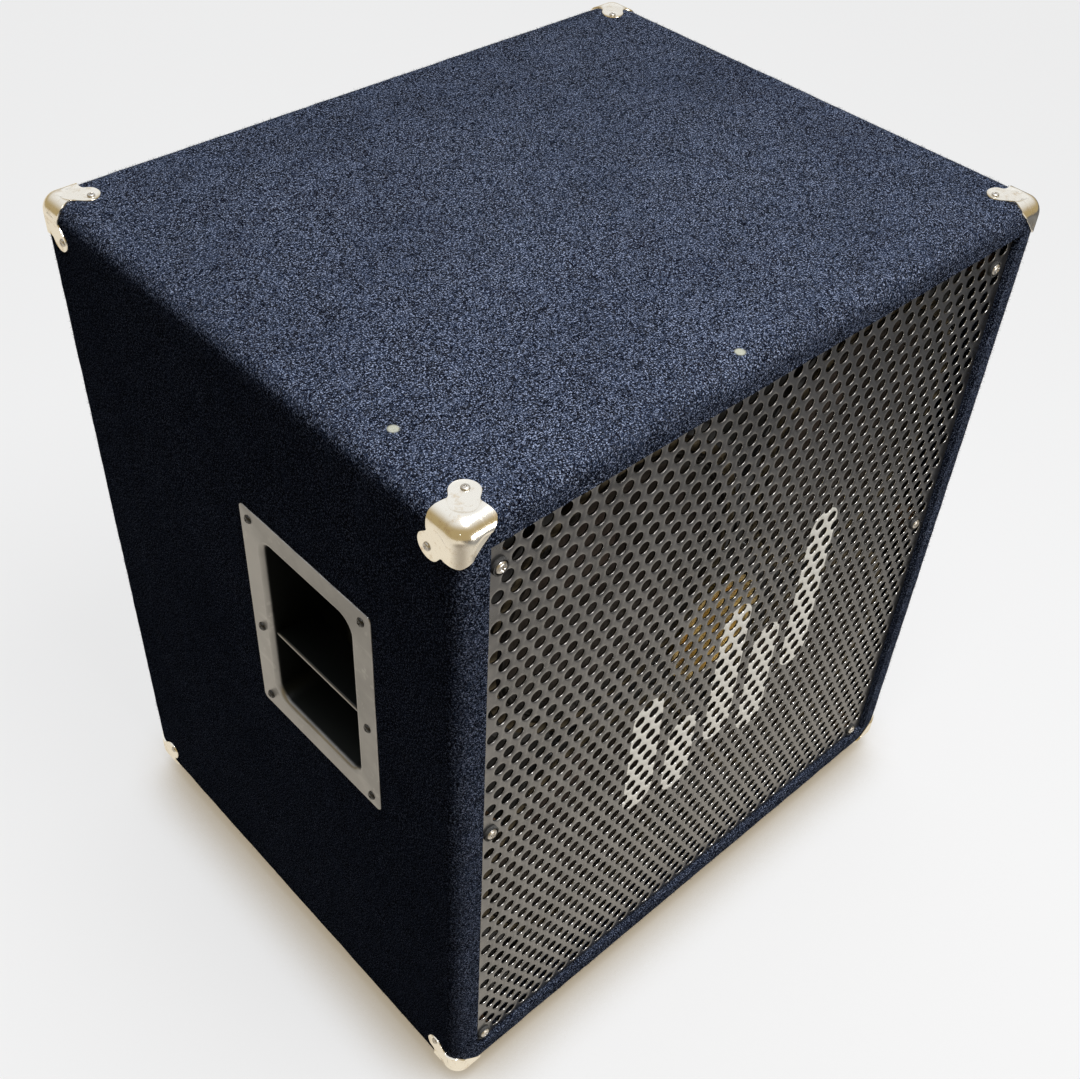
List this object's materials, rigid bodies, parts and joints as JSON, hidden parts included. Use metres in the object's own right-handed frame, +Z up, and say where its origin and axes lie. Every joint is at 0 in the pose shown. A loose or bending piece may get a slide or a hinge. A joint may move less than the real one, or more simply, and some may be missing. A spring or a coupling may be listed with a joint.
{
  "type": "loudspeaker cabinet",
  "caption": "Carpeted plywood loudspeaker cabinet with ten inch drivers and a horn behind a perforated steel grille, recessed side handles and metal corner protectors.",
  "frame": {"origin": "middle of the footprint, on the surface the feet stand on", "axes": "+X to the right seen from the front, +Y from the front to the back, +Z up"},
  "size_m": [0.5756, 0.4612, 0.643],
  "materials": {
    "plywood": "raw birch plywood",
    "painted_ply": "black stained plywood",
    "hardwood": "sawn hardwood",
    "carpet": "fine needle-punched carpet, very dark navy",
    "wadding": "loose polyester wadding",
    "grille_coat": "satin powder coat",
    "nickel": "bright nickel plate, lightly worn",
    "screw_steel": "zinc plate, lightly tarnished",
    "cup_rubber": "matt",
    "handle_coat": "satin coat over pressed steel",
    "black_screw": "black oxide",
    "foot_rubber": "matt moulded",
    "black_nylon": "moulded",
    "circuit_board": "board with fitted parts",
    "gold_metal": "spun and lacquered",
    "black_cast": "painted",
    "black_plastic": "moulded tube",
    "frame_steel": "pressed steel, painted black",
    "pressed_board": "pressed fibre",
    "ferrite": "sintered ferrite",
    "plated_steel": "zinc plate",
    "cone_paper": "pulp paper, brownish grey",
    "cap_paper": "pressed paper",
    "surround_cloth": "doped cloth",
    "spider_cloth": "resin-stiffened cloth",
    "coil_copper": "lacquered winding on a stiff former"
  },
  "bodies": {
    "cabinet": {"panel_top": "plywood", "panel_bottom": "plywood", "panel_left": "plywood", "panel_right": "plywood", "panel_back": "plywood", "baffle": "painted_ply", "braces": "plywood", "grille_blocks": "hardwood", "carpet_wrap": "carpet", "carpet_back": "carpet", "wadding": "wadding", "grille": "grille_coat", "grille_screws": "screw_steel", "grille_cups": "cup_rubber", "handle_dish_left": "handle_coat", "handle_dish_right": "handle_coat", "handle_grip_left": "handle_coat", "handle_grip_right": "handle_coat", "handle_screws": "black_screw", "corners_top": "nickel", "corners_bottom": "nickel", "corner_screws": "screw_steel", "feet": "foot_rubber", "foot_screws": "screw_steel", "jack_plate": "handle_coat", "jack_sockets": "black_nylon", "level_control": "screw_steel", "jack_plate_screws": "black_screw", "crossover": "circuit_board", "horn": "gold_metal", "horn_driver": "black_cast", "ports": "black_plastic", "driver_frames": "frame_steel", "driver_gaskets": "pressed_board", "driver_magnets": "ferrite", "driver_yokes": "plated_steel", "driver_top_plates": "plated_steel", "driver_screws": "black_screw"},
    "driver_top_left": {"cone_top_left": "cone_paper", "dust_cap_top_left": "cap_paper", "surround_top_left": "surround_cloth", "spider_top_left": "spider_cloth", "coil_top_left": "coil_copper"},
    "driver_top_right": {"cone_top_right": "cone_paper", "dust_cap_top_right": "cap_paper", "surround_top_right": "surround_cloth", "spider_top_right": "spider_cloth", "coil_top_right": "coil_copper"},
    "driver_bottom_left": {"cone_bottom_left": "cone_paper", "dust_cap_bottom_left": "cap_paper", "surround_bottom_left": "surround_cloth", "spider_bottom_left": "spider_cloth", "coil_bottom_left": "coil_copper"},
    "driver_bottom_right": {"cone_bottom_right": "cone_paper", "dust_cap_bottom_right": "cap_paper", "surround_bottom_right": "surround_cloth", "spider_bottom_right": "spider_cloth", "coil_bottom_right": "coil_copper"},
    "knob": {"level_knob": "black_nylon", "level_shaft": "screw_steel"}
  },
  "joints": [
    {"name": "cone_top_left_travel", "type": "slide", "parent": "cabinet", "child": "driver_top_left", "axis": [0, -1, 0], "range_m": [-0.004, 0.004], "stiffness_N_per_m": 3500, "deforming": ["surround_top_left", "spider_top_left"]},
    {"name": "cone_top_right_travel", "type": "slide", "parent": "cabinet", "child": "driver_top_right", "axis": [0, -1, 0], "range_m": [-0.004, 0.004], "stiffness_N_per_m": 3500, "deforming": ["surround_top_right", "spider_top_right"]},
    {"name": "cone_bottom_left_travel", "type": "slide", "parent": "cabinet", "child": "driver_bottom_left", "axis": [0, -1, 0], "range_m": [-0.004, 0.004], "stiffness_N_per_m": 3500, "deforming": ["surround_bottom_left", "spider_bottom_left"]},
    {"name": "cone_bottom_right_travel", "type": "slide", "parent": "cabinet", "child": "driver_bottom_right", "axis": [0, -1, 0], "range_m": [-0.004, 0.004], "stiffness_N_per_m": 3500, "deforming": ["surround_bottom_right", "spider_bottom_right"]},
    {"name": "level_knob_turn", "type": "hinge", "parent": "cabinet", "child": "knob", "pos_m": [0.032, 0.219, 0.353], "axis": [0, 1, 0], "range_deg": [-150, 150]}
  ]
}
